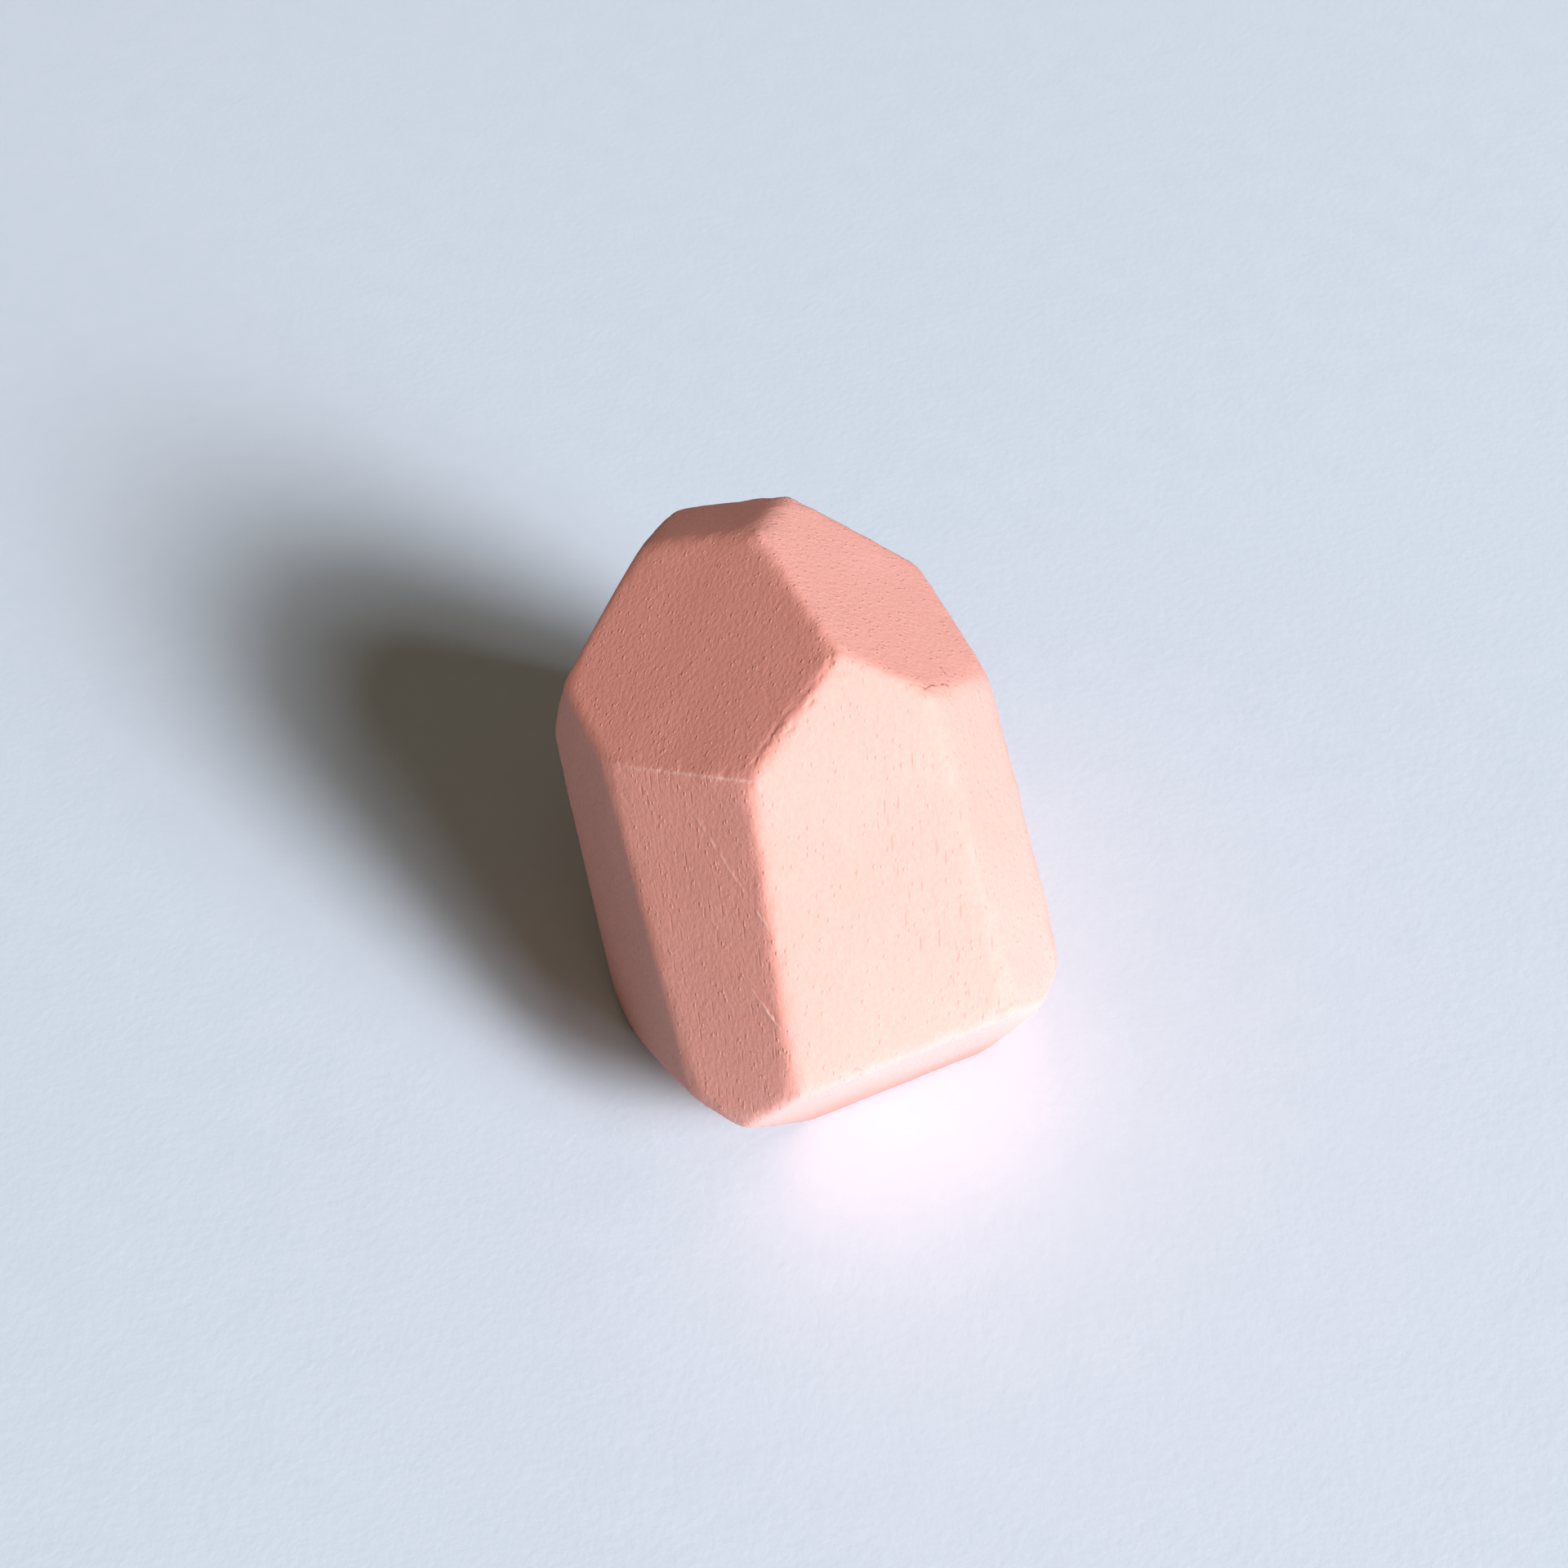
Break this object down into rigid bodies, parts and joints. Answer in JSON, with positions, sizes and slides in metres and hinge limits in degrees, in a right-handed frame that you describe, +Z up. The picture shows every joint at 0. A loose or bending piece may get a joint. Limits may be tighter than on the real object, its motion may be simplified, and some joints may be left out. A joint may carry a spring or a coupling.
{
  "type": "stacking block",
  "caption": "Faceted solid wooden stacking block with a matte painted finish; stands on a flat base and is stacked or balanced on its facets.",
  "frame": {"origin": "centre of the flat base, on the resting plane", "axes": "+Z up from the base through the crown, +Y from the leaning front facet to the upright back facet"},
  "size_m": [0.0308, 0.0449, 0.0341],
  "materials": {
    "painted_wood": "matte salmon-pink paint, fine end-grain texture showing through"
  },
  "bodies": {
    "root": {"stacking_block": "painted_wood"}
  },
  "joints": []
}
